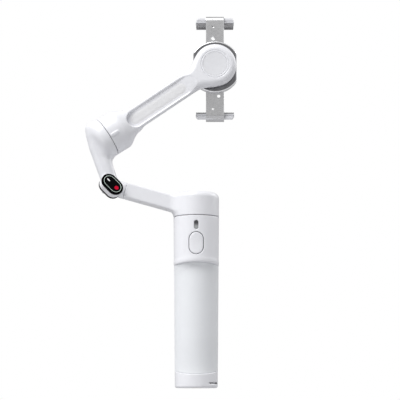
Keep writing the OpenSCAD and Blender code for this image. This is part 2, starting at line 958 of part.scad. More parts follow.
module tracker_window()
    color("black")
        at_tracker()
            difference() {
                translate([0, 0, -2]) linear_extrude(2) capsule_2d(tracker_l, tracker_w);
                translate([0, 0, -0.5]) tracker_trim_shape(1);
                translate([-4.4, 0, -0.4]) linear_extrude(1) capsule_2d(3.6, 1.4);
                translate([4.4, 0, -0.4]) cylinder(r = 1.9, h = 1);
            }

module tracker_trim_shape(h)
    linear_extrude(h)
        difference() {
            capsule_2d(tracker_l - 2, tracker_w - 2);
            capsule_2d(tracker_l - 3.4, tracker_w - 3.4);
        }

module tracker_trim()
    color("darkseagreen")
        at_tracker() translate([0, 0, -0.5]) tracker_trim_shape(0.55);

module tracker_light_bar()
    color("white")
        at_tracker() translate([-4.4, 0, -0.4]) linear_extrude(0.45) capsule_2d(3.5, 1.3);

module tracker_record_dot()
    color("red")
        at_tracker() translate([4.4, 0, -0.4]) cylinder(r = 1.85, h = 0.45);

// ---------------------------------------------------------------- drawing

handle_shell_front();
handle_shell_back();
grip_inlay();
control_panel();
base_cap();
thread_insert();
battery_cells();
main_board();
rod_housing();
usb_port();
indicator_window();
handle_screws();
trigger_button();
trigger_spring();
joystick_gimbal();
joystick_cap();
record_button();
mode_button();
rod_stage_1();
rod_stage_2();
rod_stage_3();
pan_motor_base();
pan_stator();
pan_bearing();
pan_rotor();
pan_arm();
pan_arm_cover();
fold_bushing();
fold_pin();
fold_arm();
fold_arm_cover();
tilt_stator();
tilt_bearing();
tilt_rotor();
roll_arm();
roll_arm_inlay();
roll_arm_cover();
roll_cap();
roll_cap_disc();
roll_stator();
roll_bearing();
roll_rotor();
clamp_base();
clamp_back_pad();
clamp_pinion();
clamp_spring();
upper_bracket();
lower_bracket();
upper_jaw();
lower_jaw();
upper_jaw_pad();
lower_jaw_pad();
tracker_base();
tracker_body();
tracker_window();
tracker_trim();
tracker_light_bar();
tracker_record_dot();
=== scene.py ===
"""Looks of a phone gimbal stabilizer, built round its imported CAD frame.

Shapes are written as distance functions in millimetres, in the CAD frame, and
turned into quad meshes by dual contouring, so that shells blend as moulded ones do.
"""

import json
import math

import bpy
import numpy as np
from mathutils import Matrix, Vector


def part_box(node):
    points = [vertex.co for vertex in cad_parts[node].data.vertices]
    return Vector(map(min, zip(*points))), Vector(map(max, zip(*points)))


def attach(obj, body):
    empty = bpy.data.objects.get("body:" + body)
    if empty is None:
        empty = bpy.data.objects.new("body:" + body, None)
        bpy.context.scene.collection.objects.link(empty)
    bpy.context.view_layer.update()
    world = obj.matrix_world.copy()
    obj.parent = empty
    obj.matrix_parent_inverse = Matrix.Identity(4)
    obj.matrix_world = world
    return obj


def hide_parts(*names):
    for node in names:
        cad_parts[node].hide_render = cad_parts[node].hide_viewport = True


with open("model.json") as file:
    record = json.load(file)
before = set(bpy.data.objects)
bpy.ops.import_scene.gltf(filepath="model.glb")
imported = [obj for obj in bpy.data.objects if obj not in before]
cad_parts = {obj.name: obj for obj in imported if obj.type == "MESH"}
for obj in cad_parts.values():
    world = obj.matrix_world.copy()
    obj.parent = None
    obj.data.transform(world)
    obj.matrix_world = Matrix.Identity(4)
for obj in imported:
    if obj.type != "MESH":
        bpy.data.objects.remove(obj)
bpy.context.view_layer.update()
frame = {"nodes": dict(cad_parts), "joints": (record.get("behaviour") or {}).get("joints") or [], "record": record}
MM = 0.001
JOINTS = {joint["name"]: joint for joint in frame["joints"]}


def joint_point(name):
    return np.array(JOINTS[name]["pos_m"]) / MM


def joint_axis(name):
    axis = np.array(JOINTS[name]["axis"], float)
    return axis / np.linalg.norm(axis)


def node_box(*names):
    """Lowest and highest corner of some CAD nodes together, in millimetres."""
    corners = np.array([[tuple(point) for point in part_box(name)] for name in names]) / MM
    return corners[:, 0].min(0), corners[:, 1].max(0)


# ---------------------------------------------------------------- distance functions

def unit(vector):
    vector = np.asarray(vector, float)
    return vector / np.linalg.norm(vector)


def smooth_min(a, b, k):
    """Union of two distances, with a soft blend about k wide."""
    h = np.maximum(k - np.abs(a - b), 0) / k
    return np.minimum(a, b) - h * h * k / 4


def smooth_max(a, b, k):
    return -smooth_min(-a, -b, k)


def round_max(a, b, r):
    """Intersection of two distances, with a round of radius r along their edge."""
    corner = np.hypot(np.maximum(a + r, 0), np.maximum(b + r, 0))
    return corner + np.minimum(np.maximum(a, b) + r, 0) - r


def rect(x, y, half_x, half_y, r):
    """Rectangle with corners of radius r."""
    return round_max(np.abs(x) - half_x, np.abs(y) - half_y, r)


def capsule(x, y, length, width):
    """Shape with round ends that lies along x."""
    half = (length - width) / 2
    return np.hypot(x - np.clip(x, -half, half), y) - width / 2


def slab(z, low, high):
    return np.abs(z - (low + high) / 2) - (high - low) / 2


def smooth_step(t):
    t = np.clip(t, 0, 1)
    return t * t * (3 - 2 * t)


class Place:
    """A local frame: an origin and three axes, in millimetres."""

    def __init__(self, origin, z, x):
        z = unit(z)
        y = unit(np.cross(z, x))
        self.origin = np.asarray(origin, float)
        self.axes = np.array([np.cross(y, z), y, z])

    def __call__(self, p):
        """The local x, y and z of world points."""
        return ((p - self.origin) @ self.axes.T).T


# ---------------------------------------------------------------- dual contouring

CHUNK = 200000


def evaluate(distance, points):
    return np.concatenate([distance(points[i:i + CHUNK]) for i in range(0, len(points), CHUNK)])


def gradient(distance, points, h):
    slope = np.stack([
        evaluate(distance, points + h * axis) - evaluate(distance, points - h * axis)
        for axis in np.eye(3)], axis=1)
    return slope / np.maximum(np.linalg.norm(slope, axis=1, keepdims=True), 1e-12)


def crossings(distance, value, low, step, axis):
    """Where the surface cuts the grid's edges along one axis, and the four cells round each."""
    inside = value < 0
    head, tail = [slice(None)] * 3, [slice(None)] * 3
    head[axis], tail[axis] = slice(1, None), slice(None, -1)
    start = np.argwhere(inside[tuple(tail)] != inside[tuple(head)])
    along = np.eye(3, dtype=int)[axis]
    near, far = np.zeros(len(start)), np.ones(len(start))
    near_value = value[tuple(start.T)]
    far_value = value[tuple((start + along).T)]
    starts_inside = near_value < 0
    spot = None
    for _ in range(4):
        t = near + (far - near) * near_value / (near_value - far_value)
        spot = low + step * (start + t[:, None] * along)
        here = evaluate(distance, spot)
        same = (here < 0) == starts_inside
        near, near_value = np.where(same, t, near), np.where(same, here, near_value)
        far, far_value = np.where(same, far, t), np.where(same, far_value, here)
    b, c = np.eye(3, dtype=int)[(axis + 1) % 3], np.eye(3, dtype=int)[(axis + 2) % 3]
    ring = np.stack([start - b - c, start - c, start, start - b], axis=1)
    ring[~starts_inside] = ring[~starts_inside][:, ::-1]
    return spot, ring


def contour(distance, low, high, step):
    """Vertices, quads and normals of the surface where distance is 0."""
    low = np.asarray(low, float) - 2.37 * step
    count = np.ceil((np.asarray(high, float) + 2.37 * step - low) / step).astype(int) + 1
    lines = [low[i] + step * np.arange(count[i]) for i in range(3)]
    grid = np.stack(np.meshgrid(*lines, indexing="ij"), axis=-1).reshape(-1, 3)
    value = evaluate(distance, grid).reshape(count)
    found = [crossings(distance, value, low, step, axis) for axis in range(3)]
    spot = np.concatenate([f[0] for f in found])
    ring = np.concatenate([f[1] for f in found])
    normal = gradient(distance, spot, 0.02 * step)
    keys = np.ravel_multi_index(ring.reshape(-1, 3).T, count)
    used, index = np.unique(keys, return_inverse=True)
    index = index.reshape(-1)
    spots, normals = np.repeat(spot, 4, axis=0), np.repeat(normal, 4, axis=0)
    total = np.bincount(index)

    def gather(weights):
        return np.bincount(index, weights=weights, minlength=len(used))

    middle = np.stack([gather(spots[:, i]) for i in range(3)], axis=1) / total[:, None]
    square = np.stack([
        np.stack([gather(normals[:, i] * normals[:, j]) for j in range(3)], axis=1)
        for i in range(3)], axis=1)
    reach = (normals * spots).sum(1)
    right = np.stack([gather(normals[:, i] * reach) for i in range(3)], axis=1)
    right = right - np.einsum("nij,nj->ni", square, middle)
    shift = np.linalg.solve(square + 0.05 * np.eye(3), right[..., None])[..., 0]
    cell = low + step * np.stack(np.unravel_index(used, count), axis=1)
    verts = np.clip(middle + shift, cell - 0.05 * step, cell + 1.05 * step)
    return verts, index.reshape(-1, 4), gradient(distance, verts, 0.2 * step)


def add_mesh(name, verts, faces, normals=None):
    mesh = bpy.data.meshes.new(name)
    mesh.from_pydata((verts * MM).tolist(), [], faces.tolist())
    mesh.polygons.foreach_set("use_smooth", np.ones(len(mesh.polygons), bool))
    if normals is not None:
        mesh.normals_split_custom_set_from_vertices(normals.tolist())
    piece = bpy.data.objects.new(name, mesh)
    bpy.context.scene.collection.objects.link(piece)
    return piece


SLOT_OF = {part["node"]: part["material_slot"] for part in frame["record"]["subparts"]}
BODY_OF = {node: body for body, nodes in frame["record"]["behaviour"]["bodies"].items() for node in nodes}


def solid(node, distance, step, grow=0.0):
    """A piece that stands for a CAD node of the same place, body and finish."""
    low, high = node_box(node)
    verts, faces, normals = contour(distance, low - grow, high + grow, step)
    piece = add_mesh(node + "_shape", verts, faces, normals)
    piece.data.materials.append(finish(SLOT_OF[node]))
    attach(piece, BODY_OF[node])
    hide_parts(node)
    return piece


# ---------------------------------------------------------------- materials

class Shader:
    """A material's node tree, built one node at a time."""

    def __init__(self, name):
        self.material = bpy.data.materials.new(name)
        self.material.use_nodes = True
        self.tree = self.material.node_tree
        self.base = self.tree.nodes["Principled BSDF"]
        self.place = self.tree.nodes.new("ShaderNodeTexCoord").outputs["Object"]

    def node(self, kind, inputs=(), **settings):
        node = self.tree.nodes.new(kind)
        for name, value in settings.items():
            setattr(node, name, value)
        for name, value in dict(inputs).items():
            if isinstance(value, bpy.types.NodeSocket):
                self.tree.links.new(value, node.inputs[name])
            else:
                node.inputs[name].default_value = value
        return node

    def set(self, **values):
        for name, value in values.items():
            self.base.inputs[name.replace("_", " ")].default_value = value

    def link(self, socket, name):
        self.tree.links.new(socket, self.base.inputs[name])

    def noise(self, feature, detail=2.0, stretch=(1, 1, 1), roughness=0.5, place=None):
        """Noise whose features are about so many metres wide."""
        spread = self.node("ShaderNodeMapping", {"Vector": place or self.place, "Scale": stretch})
        return self.node("ShaderNodeTexNoise", {
            "Vector": spread.outputs[0], "Scale": 1 / feature,
            "Detail": detail, "Roughness": roughness}).outputs["Fac"]

    def ramp(self, value, low, high, from_0=0.3, from_1=0.7):
        return self.node("ShaderNodeMapRange", {
            "Value": value, "From Min": from_0, "From Max": from_1, "To Min": low, "To Max": high}).outputs[0]

    def tint(self, value, dark, light, from_0=0.3, from_1=0.7):
        mix = self.node("ShaderNodeMix", {
            "Factor": self.ramp(value, 0, 1, from_0, from_1)}, data_type="RGBA")
        mix.inputs[6].default_value = (*dark, 1)
        mix.inputs[7].default_value = (*light, 1)
        return mix.outputs[2]

    def bump(self, *layers):
        """Layers of (height, distance in metres), one on the other."""
        normal = None
        for height, distance in layers:
            inputs = {"Height": height, "Distance": distance, "Strength": 1.0}
            if normal is not None:
                inputs["Normal"] = normal
            normal = self.node("ShaderNodeBump", inputs).outputs[0]
        self.link(normal, "Normal")


def moulded(name, colour, roughness, grain=0.00025, depth=0.000004, shade=0.985, soft=0.06):
    """Moulded plastic: a fine spark-eroded grain, and a faint change of tone and gloss."""
    shader = Shader(name)
    patch = shader.noise(0.018, 3)
    shader.link(shader.tint(patch, [c * shade for c in colour], colour), "Base Color")
    fine = shader.noise(grain, 2)
    shader.link(shader.ramp(patch, roughness - soft, roughness + soft), "Roughness")
    shader.bump((fine, depth), (shader.noise(0.006, 2), depth * 4))
    shader.set(IOR=1.5)
    return shader


def white_shell():
    shader = moulded("white_shell", (0.845, 0.85, 0.885), 0.33)
    shader.set(Coat_Weight=0.25, Coat_Roughness=0.22)
    return shader.material


def grip_soft():
    shader = moulded("grip_soft", (0.805, 0.822, 0.848), 0.62, grain=0.00035, depth=0.00002, shade=0.97)
    shader.set(Sheen_Weight=0.15, Sheen_Roughness=0.5)
    return shader.material


def metal(name, colour, roughness, stretch, feature=0.0002, depth=0.000003, shade=0.8):
    """Brushed metal: long fine scratches across the stretched axis, and worn tone."""
    shader = Shader(name)
    lines = shader.noise(feature, 4, stretch, 0.65)
    smudge = shader.noise(0.012, 3)
    shader.link(shader.tint(lines, [c * shade for c in colour], colour), "Base Color")
    blend = shader.node("ShaderNodeMath", {0: shader.ramp(lines, -0.07, 0.07), 1: shader.ramp(
        smudge, roughness - 0.04, roughness + 0.06)}, operation="ADD")
    shader.link(blend.outputs[0], "Roughness")
    shader.bump((lines, depth))
    shader.set(Metallic=1.0, Anisotropic=0.5)
    return shader


def brushed_metal():
    return metal("brushed_metal", (0.74, 0.74, 0.75), 0.28, (0.06, 1, 1)).material


def steel():
    return metal("steel", (0.72, 0.72, 0.73), 0.24, (1, 1, 0.05), shade=0.92).material


def silver_trim():
    """Silver paint over plastic: part metal, part lacquer."""
    shader = metal("silver_trim", (0.86, 0.86, 0.89), 0.36, (0.2, 1, 0.2), shade=0.92)
    shader.set(Metallic=0.2, Anisotropic=0.0, Coat_Weight=0.3)
    return shader.material


def motor_steel():
    return metal("motor_steel", (0.42, 0.42, 0.44), 0.42, (1, 1, 0.3)).material


def dark_metal():
    """Turned, anodised metal: rings round the roll axis."""
    shader = Shader("dark_metal")
    centre = JOINTS["roll_turn"]["pos_m"]
    offset = shader.node("ShaderNodeVectorMath", {
        0: shader.place, 1: (-centre[0], 0, -centre[2])}, operation="ADD")
    flat = shader.node("ShaderNodeVectorMath", {0: offset.outputs[0], 1: (1, 0, 1)}, operation="MULTIPLY")
    radius = shader.node("ShaderNodeVectorMath", {0: flat.outputs[0]}, operation="LENGTH").outputs["Value"]
    line = shader.node("ShaderNodeCombineXYZ", {"X": radius}).outputs[0]
    rings = shader.noise(0.00025, 3, (1, 1, 1), 0.6, line)
    patch = shader.noise(0.01, 3)
    turned = shader.tint(rings, (0.17, 0.17, 0.18), (0.28, 0.28, 0.29))
    edge = (CLAMP_R - 0.75) * MM
    cut = shader.node("ShaderNodeMix", {0: shader.ramp(radius, 0, 1, edge - 0.00005, edge)}, data_type="RGBA")
    shader.tree.links.new(turned, cut.inputs[6])
    cut.inputs[7].default_value = (0.9, 0.9, 0.91, 1)
    shader.link(cut.outputs[2], "Base Color")
    shader.link(shader.ramp(patch, 0.26, 0.36), "Roughness")
    shader.bump((rings, 0.000006))
    shader.set(Metallic=1.0, Anisotropic=0.4)
    return shader.material


def copper_winding():
    """Enamelled wire: bands a wire's width apart, lacquered."""
    shader = Shader("copper_winding")
    wave = shader.node("ShaderNodeTexWave", {
        "Vector": shader.place, "Scale": 1 / 0.0021, "Distortion": 1.5}, bands_direction="Z").outputs["Fac"]
    shader.link(shader.tint(wave, (0.25, 0.09, 0.03), (0.72, 0.34, 0.14), 0, 1), "Base Color")
    shader.bump((wave, 0.00012))
    shader.set(Metallic=0.85, Roughness=0.35, Coat_Weight=0.6, Coat_Roughness=0.1)
    return shader.material


def board_green():
    shader = Shader("board_green")
    spots = shader.node("ShaderNodeTexVoronoi", {"Vector": shader.place, "Scale": 1 / 0.0022},
                        feature="DISTANCE_TO_EDGE").outputs["Distance"]
    shader.link(shader.tint(spots, (0.05, 0.22, 0.1), (0.015, 0.11, 0.05), 0.03, 0.09), "Base Color")
    shader.bump((spots, 0.00003))
    shader.set(Roughness=0.3, Coat_Weight=0.4)
    return shader.material


def window_black():
    shader = moulded("window_black", (0.002, 0.002, 0.0025), 0.16, depth=0.000001, soft=0.03)
    shader.set(IOR=1.1)
    return shader.material


def record_red():
    shader = moulded("record_red", (0.58, 0.002, 0.03), 0.45)
    shader.set(IOR=1.2)
    return shader.material


def rubber(name, colour):
    """Ribbed soft rubber with dust in its texture."""
    shader = moulded(name, colour, 0.66, grain=0.0004, depth=0.00003, shade=0.85)
    shader.set(Sheen_Weight=0.2, Sheen_Roughness=0.6)
    return shader.material


def status_window():
    """Smoked status window with painted shade: darker in its upper half, where the recess's top wall shades it,
    and lighter below.
    """
    shader = Shader("status_window")
    low, high = node_box("indicator_window")
    height = shader.node("ShaderNodeSeparateXYZ", {"Vector": shader.place}).outputs["Z"]
    middle = (low[2] + high[2]) / 2 * MM
    # painted shade: the colour runs from lighter at the bottom to dark at the top, standing in for the recess's
    # shade
    tone = shader.ramp(height, 0, 1, middle - 0.0012, middle + 0.0012)
    dust = shader.noise(0.0004, 2)
    shader.link(shader.tint(tone, (0.36, 0.37, 0.38), (0.055, 0.055, 0.06), 0, 1), "Base Color")
    shader.link(shader.ramp(dust, 0.14, 0.24), "Roughness")
    shader.bump((dust, 0.000003))
    shader.set(Coat_Weight=0.4)
    return shader.material


FINISHES = {
    "white_shell": white_shell,
    "grip_soft": grip_soft,
    "panel_white": lambda: moulded("panel_white", (0.80, 0.80, 0.815), 0.48).material,
    "grey_plastic": lambda: moulded("grey_plastic", (0.2, 0.2, 0.21), 0.5, depth=0.00001).material,
    "dark_plastic": lambda: moulded("dark_plastic", (0.012, 0.012, 0.013), 0.42, depth=0.00001).material,
    "light_plastic": lambda: moulded("light_plastic", (0.79, 0.795, 0.825), 0.36).material,
    "brushed_metal": brushed_metal,
    "dark_metal": dark_metal,
    "steel": steel,
    "motor_steel": motor_steel,
    "copper_winding": copper_winding,
    "brass": lambda: metal("brass", (0.78, 0.56, 0.26), 0.28, (1, 1, 0.1)).material,
    "cell_wrap": lambda: moulded("cell_wrap", (0.03, 0.09, 0.3), 0.3, grain=0.002, depth=0.00004).material,
    "board_green": board_green,
    "silver_trim": silver_trim,
    "window_black": window_black,
    "trim_green": lambda: moulded("trim_green", (0.68, 0.80, 0.72), 0.35).material,
    "light_white": lambda: moulded("light_white", (0.9, 0.9, 0.9), 0.25).material,
    "record_red": record_red,
    "button_red": lambda: moulded("button_red", (0.55, 0.03, 0.03), 0.35).material,
    "pad_rubber": lambda: rubber("pad_rubber", (0.10, 0.10, 0.105)),
    "pale_rubber": lambda: rubber("pale_rubber", (0.42, 0.42, 0.43)),
    "status_window": status_window,
}
MADE = {}


def finish(slot):
    if slot not in MADE:
        MADE[slot] = FINISHES[slot]()
    return MADE[slot]


# ---------------------------------------------------------------- handle

SEAM = 0.5                      # open seam between pieces that turn
HANDLE_HIGH = node_box("handle_shell_front", "handle_shell_back")[1]
HANDLE_H = HANDLE_HIGH[2]
HANDLE_TOP_R = HANDLE_HIGH[0]
HANDLE_BASE_R = node_box("base_cap")[1][0] + 1.7
GRIP_TOP = node_box("grip_inlay")[1][2]
GRIP_SLOPE = math.tan(math.radians(11))
GRIP_SKIN = 0.9                 # thickness of the soft skin
LEAN_FROM, LEAN = 38, math.tan(math.radians(2.1))
WALL = 1.6
LIP_DROP, LIP_ARCH = 0.9, 2.0   # how far the lip sits below the CAD one, and drops at its ends
SET_BACK, FOOT, COVE = 2.0, 1.6, 2.5
STRAP_X, STRAP_Z = 13, 3.6      # the middle of the strap's slot
HALF_SPLIT = 0.03               # half the gap between the handle's two shells
WINDOW_SLOT = (7.2, 3.4)        # length and width of the openings in the shells
USB_SLOT = (9.5, 3.7)


def handle_radius(z):
    return HANDLE_BASE_R + (HANDLE_TOP_R - HANDLE_BASE_R) * z / HANDLE_H


def grip_top(x):
    """The lip's height, which arches up towards the middle."""
    return GRIP_TOP - LIP_DROP - LIP_ARCH * (x / HANDLE_TOP_R) ** 2


def grip_dip(x, z):
    """How far the grip sits back: nearly flush at its foot, leaning in to a cove under the lip."""
    below = np.maximum(grip_top(x) - z, 0)
    lean = np.maximum(z - LEAN_FROM, 0) * LEAN
    reach = 0.9 + 4.6 * (1 - np.exp(-(x / 9.0) ** 2))
    foot = FOOT * np.exp(-np.maximum(z - 8, 0) / 5)
    return SET_BACK + lean - foot - COVE * np.exp(-below / reach)


def grip_zone(x, y, z, gap):
    """The scoop's space, grown by gap. Its lower edge dips towards the front."""
    lower = (13.6 - z + y * GRIP_SLOPE) * math.cos(math.atan(GRIP_SLOPE))
    return np.maximum(np.maximum(z - grip_top(x), lower), y) - gap


def handle_tube(p):
    x, y, z = p.T
    flare = 0.22 * np.exp(-((z - grip_top(x) - 2.6) / 1.7) ** 2)
    outer = np.hypot(x, y) - handle_radius(z) - flare
    body = round_max(round_max(outer, -z, 1.6), z - HANDLE_H, 0.35)
    floor = np.hypot(x, y - grip_dip(x, z)) - (handle_radius(z) - GRIP_SKIN)
    scoop = np.maximum(grip_zone(x, y, z, 0), -floor)
    body = round_max(body, -scoop, 0.3 + 0.9 * smooth_step((z - 30) / 30))
    behind = np.maximum(grip_zone(x, y, z, 1.2), -(floor + 0.8))
    cavity = np.maximum(outer + WALL, -behind)
    return np.maximum(body, -cavity)


def on_front(p, z):
    """Local width, height and distance out of the handle's front, round height z."""
    return p[:, 0], p[:, 2] - z, -p[:, 1]


def on_back(p, z):
    return -p[:, 0], p[:, 2] - z, p[:, 1]


TRIGGER_LOW, TRIGGER_HIGH = node_box("trigger_button")
TRIGGER_Z = (TRIGGER_LOW[2] + TRIGGER_HIGH[2]) / 2
TRIGGER_SIZE = TRIGGER_HIGH - TRIGGER_LOW
WINDOW_LOW, WINDOW_HIGH = node_box("indicator_window")
WINDOW_Z = (WINDOW_LOW[2] + WINDOW_HIGH[2]) / 2
PANEL_LOW, PANEL_HIGH = node_box("control_panel")
PANEL_Z = (PANEL_LOW[2] + PANEL_HIGH[2]) / 2
PANEL_SIZE = PANEL_HIGH - PANEL_LOW
USB_LOW, USB_HIGH = node_box("usb_port")
USB_Z = (USB_LOW[2] + USB_HIGH[2]) / 2


def front_shell(p):
    d = round_max(handle_tube(p), p[:, 1] + HALF_SPLIT, 0.12)
    x, up, out = on_front(p, TRIGGER_Z)
    trigger = capsule(up, x, TRIGGER_SIZE[2] + 0.8, TRIGGER_SIZE[0] + 0.8)
    d = round_max(d, -np.maximum(trigger, 8 - out), 0.45)
    x, up, out = on_front(p, WINDOW_Z)
    d = round_max(d, -np.maximum(capsule(up, x, *WINDOW_SLOT), 8 - out), 0.3)
    strap = np.maximum(rect(p[:, 0] - STRAP_X, p[:, 2] - STRAP_Z, 3, 0.55, 0.4), p[:, 1])
    return round_max(d, -strap, 0.3)


def back_shell(p):
    d = round_max(handle_tube(p), HALF_SPLIT - p[:, 1], 0.12)
    x, up, out = on_back(p, PANEL_Z)
    panel = rect(x, up, PANEL_SIZE[0] / 2 + 0.1, PANEL_SIZE[2] / 2 + 0.1, 8)
    d = round_max(d, -np.maximum(panel, 8 - out), 0.3)
    x, up, out = on_back(p, USB_Z)
    return round_max(d, -np.maximum(capsule(x, up, *USB_SLOT), 8 - out), 0.4)


def grip_shape(p):
    x, y, z = p.T
    surface = np.hypot(x, y - grip_dip(x, z)) - handle_radius(z)
    floor = surface + GRIP_SKIN
    return round_max(np.maximum(surface, -floor), grip_zone(x, y, z, -0.08), 0.3)


def panel_shape(p):
    x, up, out = on_back(p, PANEL_Z)
    radial = np.hypot(p[:, 0], p[:, 1]) - handle_radius(p[:, 2])
    d = round_max(radial + 0.3, rect(x, up, PANEL_SIZE[0] / 2, PANEL_SIZE[2] / 2, 7.9), 0.35)
    d = np.maximum(d, -(radial + 1.8))
    d = np.maximum(d, 5 - out)
    joystick = np.hypot(x, p[:, 2] - JOYSTICK[2])
    dish = smooth_max(joystick - 7.2, -(radial + 0.75), 0.5)
    d = smooth_max(d, -dish, 0.5)
    d = round_max(d, 5.4 - joystick, 0.3)
    d = round_max(d, 4.05 - np.hypot(x, p[:, 2] - RECORD_Z), 0.3)
    return round_max(d, -capsule(x, p[:, 2] - MODE_Z, 8.5, 4.5), 0.3)


JOYSTICK = joint_point("joystick_lean")
RECORD_Z = sum(box[2] for box in node_box("record_button")) / 2
MODE_Z = sum(box[2] for box in node_box("mode_button")) / 2
SPRING_Z = sum(box[2] for box in node_box("trigger_spring")) / 2
SPRING_SEAT_R, SPRING_SEAT_OUT = 2.4, 15.7


def trigger_shape(p):
    """A crowned key with a shallow dish for the finger, and a seat for its spring behind."""
    x, up, out = on_front(p, TRIGGER_Z)
    radial = np.hypot(p[:, 0], p[:, 1]) - handle_radius(p[:, 2]) - 0.15
    dish = 0.55 * np.exp(-(x / 4.6) ** 2 - (up / 7.0) ** 2)
    d = round_max(radial + dish, capsule(up, x, TRIGGER_SIZE[2], TRIGGER_SIZE[0]), 0.9)
    seat = np.hypot(x, p[:, 2] - SPRING_Z) - SPRING_SEAT_R
    d = np.maximum(d, -np.maximum(seat, out - SPRING_SEAT_OUT))
    return round_max(d, 13.4 - out, 0.3)


def window_shape(p):
    x, up, out = on_front(p, WINDOW_Z)
    radial = np.hypot(p[:, 0], p[:, 1]) - handle_radius(p[:, 2]) + 0.25
    return round_max(round_max(radial, capsule(up, x, 7.05, 3.25), 0.25), 14.5 - out, 0.2)


def joystick_shape(p):
    """A stem with a dished, knurled cap."""
    q = p - JOYSTICK
    r, out = np.hypot(q[:, 0], q[:, 2]), q[:, 1]
    angle = np.arctan2(q[:, 2], q[:, 0])
    stem = round_max(r - 1.3, slab(out, -0.9, 3.9), 0.2)
    top = 5.35 - 0.5 * np.clip(1 - (r / 3.4) ** 2, 0, 1)
    knurl = 0.10 * np.cos(24 * angle) * smooth_step((r - 3.3) / 0.8)
    cap = round_max(round_max(r - 4.2 + knurl, out - top, 0.5), 3.5 - out, 0.4)
    return smooth_min(stem, cap, 0.5)


def record_shape(p):
    x, up, out = on_back(p, RECORD_Z)
    r = np.hypot(x, up)
    top = 17.95 - 0.35 * np.clip(1 - (r / 2.8) ** 2, 0, 1)
    return round_max(round_max(r - 3.8, out - top, 0.5), 13.3 - out, 0.2)


def mode_shape(p):
    x, up, out = on_back(p, MODE_Z)
    ridge = 0.18 * np.exp(-(up / 0.5) ** 2)
    return round_max(round_max(capsule(x, up, 8, 4), out - 17.6 - ridge, 0.5), 13.3 - out, 0.2)


def usb_shape(p):
    x, up, out = on_back(p, USB_Z)
    shell = np.maximum(np.abs(capsule(x, up, 8.95, 3.15)) - 0.22, slab(out, 13.7, 16.4))
    back = np.maximum(capsule(x, up, 9.0, 3.2), slab(out, 13.7, 14.4))
    tongue = rect(x, up, 3.2, 0.34, 0.1)
    tongue = round_max(tongue, slab(out, 14, 16.1), 0.1)
    return np.minimum(np.minimum(shell, back), tongue)


def make_handle():
    solid("handle_shell_front", front_shell, 0.55)
    solid("handle_shell_back", back_shell, 0.62)
    solid("grip_inlay", grip_shape, 0.4, 1.0)
    solid("control_panel", panel_shape, 0.4)
    solid("trigger_button", trigger_shape, 0.3)
    window = solid("indicator_window", window_shape, 0.2)
    window.data.materials[0] = finish("status_window")
    solid("joystick_cap", joystick_shape, 0.16)
    solid("record_button", record_shape, 0.2)
    solid("mode_button", mode_shape, 0.2)
    solid("usb_port", usb_shape, 0.14)


# ---------------------------------------------------------------- lower arm

ELBOW = Place(joint_point("elbow_fold"), joint_axis("elbow_fold"), (0, 0, -1))
PAN_BASE = HANDLE_H + SEAM
PAN_TOP = PAN_BASE + 19.2
ELBOW_SEAM = 0.25
BAR_START = 11.1                # from the elbow's centre to the bar's end
BAR = (11.4, 18.0)              # height and depth of the bar's section
PAN_POCKET_R = 16.2             # the pan motor's pocket in the cap
COVER_MID = 35                  # the middle of the cover under the bar, from the elbow


def pan_shape(p):
    x, y, z = p.T
    r = np.hypot(x, y)
    cap = round_max(r - HANDLE_TOP_R, z - PAN_TOP, 4.6)
    across, depth, along = ELBOW(p)
    bar = round_max(rect(across, depth, BAR[0] / 2, BAR[1] / 2, 1.1), BAR_START - along, 0.25)
    bar = round_max(bar, along - 56, 1)
    d = smooth_min(cap, bar, 5.5)
    d = round_max(d, PAN_BASE - z, 0.4)
    d = np.maximum(d, -np.maximum(r - PAN_POCKET_R, z - PAN_TOP + 2.4))
    seat = round_max(rect(along - COVER_MID, depth, 11, 6.8, 1), BAR[0] / 2 - 1.5 - across, 0.2)
    d = round_max(d, -seat, 0.25)
    return np.maximum(d, -np.maximum(np.hypot(across, depth) - 4, along - BAR_START - 9))


def pan_cover_shape(p):
    across, depth, along = ELBOW(p)
    d = round_max(rect(along - COVER_MID, depth, 10.85, 6.65, 0.9), across - BAR[0] / 2 + 0.15, 0.3)
    return np.maximum(d, BAR[0] / 2 - 1.4 - across)


# ---------------------------------------------------------------- upper arm and tilt motor

TILT_C = joint_point("tilt_turn")
TILT_Z = joint_axis("tilt_turn")
TILT = Place(TILT_C, TILT_Z, (0, 0, -1))
TILT_R = 16.3
ROTOR_R, ROTOR_DEPTH = 14.25, 7.3   # the tilt motor's pocket in the upper arm
SHAFT_R, SHAFT_DEPTH = 3.0, 8.4     # the shaft's hole in the pocket's floor
NECK_Z = (158, 167, 175, 181, 188, 198, 205)
NECK_X = (-67.5, -70.4, -73.2, -75.1, -76.9, -78.6, -79.1)
NECK_HALF_X = (6.7, 6.85, 7.0, 7.3, 8.1, 9.0, 9.2)
NECK_HALF_Y = (8.5, 8.8, 9.3, 9.6, 10.4, 11.6, 12.2)
NECK_LEAN = math.radians(18)


def neck(p):
    """The leaning tube between the elbow and the tilt housing."""
    x, y, z = p.T
    half_x = np.interp(z, NECK_Z, NECK_HALF_X)
    half_y = np.interp(z, NECK_Z, NECK_HALF_Y)
    section = rect(x - np.interp(z, NECK_Z, NECK_X), y, half_x, half_y, 5.6)
    return round_max(section * 0.95, slab(z, 158, 209), 6)


def fold_body(p):
    """The upper arm, from the elbow up to the fixed half of the tilt housing."""
    across, depth, along = ELBOW(p)
    head = round_max(rect(across, depth, 6.0, 8.9, 3.4), slab(along, -7.5, BAR_START), 0.8)
    x, y, s = TILT(p)
    cup = round_max(np.hypot(x, y) - TILT_R, -(s + 9.6), 5)
    return smooth_min(smooth_min(head, neck(p), 4), cup, 5)


def fold_cover_edge(p):
    """The outline of the cover on the back of the upper arm."""
    low, high = node_box("fold_arm_cover")
    centre = (low + high) / 2
    q = p - centre
    along = q[:, 2] * math.cos(NECK_LEAN) - q[:, 0] * math.sin(NECK_LEAN)
    across = q[:, 0] * math.cos(NECK_LEAN) + q[:, 2] * math.sin(NECK_LEAN)
    return np.maximum(capsule(along, across, 16, 7.5), low[1] - p[:, 1])


